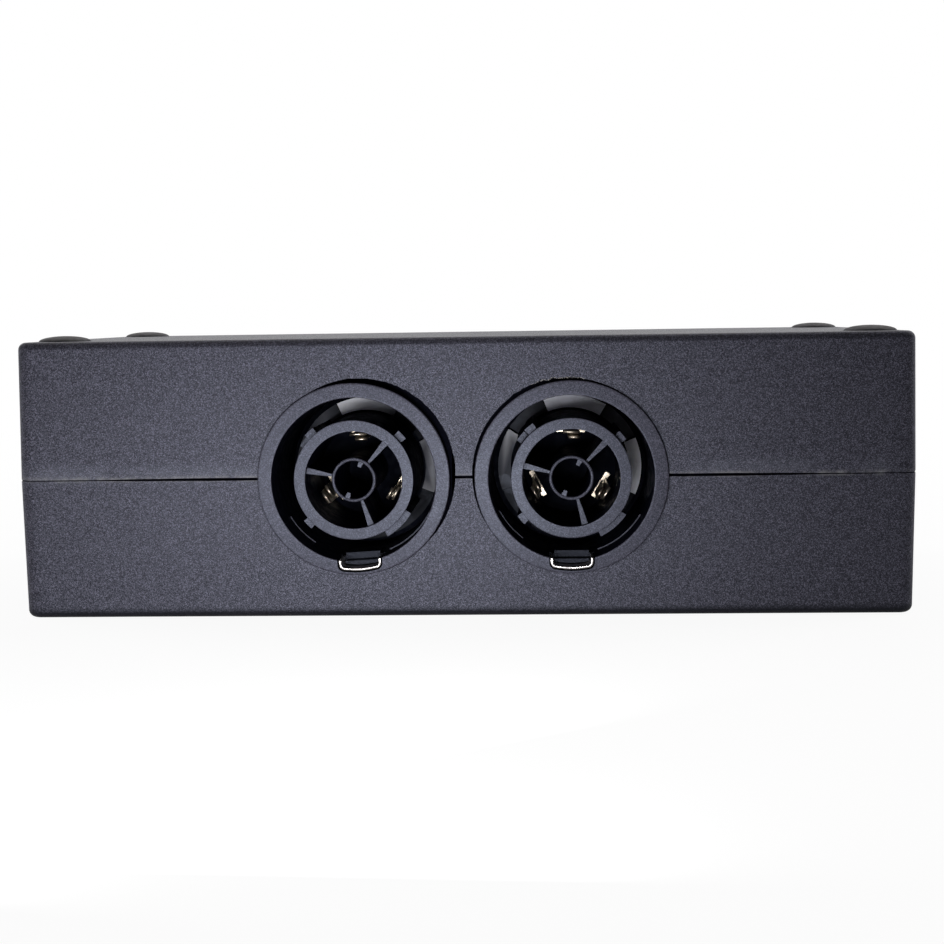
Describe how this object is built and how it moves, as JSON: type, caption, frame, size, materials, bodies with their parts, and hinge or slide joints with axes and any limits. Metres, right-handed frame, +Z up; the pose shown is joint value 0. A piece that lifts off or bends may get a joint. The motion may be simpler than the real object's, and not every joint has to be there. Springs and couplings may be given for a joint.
{
  "type": "power distribution box",
  "caption": "Small moulded plastic power distribution box with locking round outlets side by side in its front, an inlet in its end and low rubber feet.",
  "frame": {"origin": "centre of the case's flat face that it rests on, with the feet up", "axes": "+X along the case's length to the right as seen from the outlets' side, +Y from the outlets to the rear, +Z up; the outlets face -Y and the inlet faces -X"},
  "size_m": [0.1205, 0.0605, 0.0382],
  "materials": {
    "case": "spark-grain moulded charcoal plastic",
    "foot": "matt black rubber",
    "screw": "zinc-plated steel, darkened",
    "barrel": "satin dark grey glass-filled nylon",
    "insert": "satin dark grey nylon",
    "keeper": "polished steel strip",
    "clip": "spring steel",
    "contact": "formed brass strip",
    "sleeve": "black heat-shrunk sleeve",
    "wire_line": "brown wire insulation",
    "wire_neutral": "blue wire insulation",
    "wire_earth": "green wire insulation"
  },
  "bodies": {
    "root": {"upper_shell": "case", "lower_shell": "case", "foot_1": "foot", "foot_2": "foot", "foot_3": "foot", "foot_4": "foot", "case_screw_1": "screw", "case_screw_2": "screw", "case_screw_3": "screw", "case_screw_4": "screw", "outlet_left_barrel": "barrel", "outlet_left_insert": "insert", "outlet_left_keeper": "keeper", "outlet_left_clip": "clip", "outlet_left_contact_line": "contact", "outlet_left_sleeve_line": "sleeve", "outlet_left_contact_neutral": "contact", "outlet_left_sleeve_neutral": "sleeve", "outlet_left_contact_earth": "contact", "outlet_left_sleeve_earth": "sleeve", "outlet_right_barrel": "barrel", "outlet_right_insert": "insert", "outlet_right_keeper": "keeper", "outlet_right_clip": "clip", "outlet_right_contact_line": "contact", "outlet_right_sleeve_line": "sleeve", "outlet_right_contact_neutral": "contact", "outlet_right_sleeve_neutral": "sleeve", "outlet_right_contact_earth": "contact", "outlet_right_sleeve_earth": "sleeve", "inlet_barrel": "barrel", "inlet_insert": "insert", "inlet_keeper": "keeper", "inlet_clip": "clip", "inlet_contact_line": "contact", "inlet_sleeve_line": "sleeve", "inlet_contact_neutral": "contact", "inlet_sleeve_neutral": "sleeve", "inlet_contact_earth": "contact", "inlet_sleeve_earth": "sleeve", "supply_wire_line": "wire_line", "supply_wire_neutral": "wire_neutral", "supply_wire_earth": "wire_earth", "link_wire_line": "wire_line", "link_wire_neutral": "wire_neutral", "link_wire_earth": "wire_earth"}
  },
  "joints": []
}
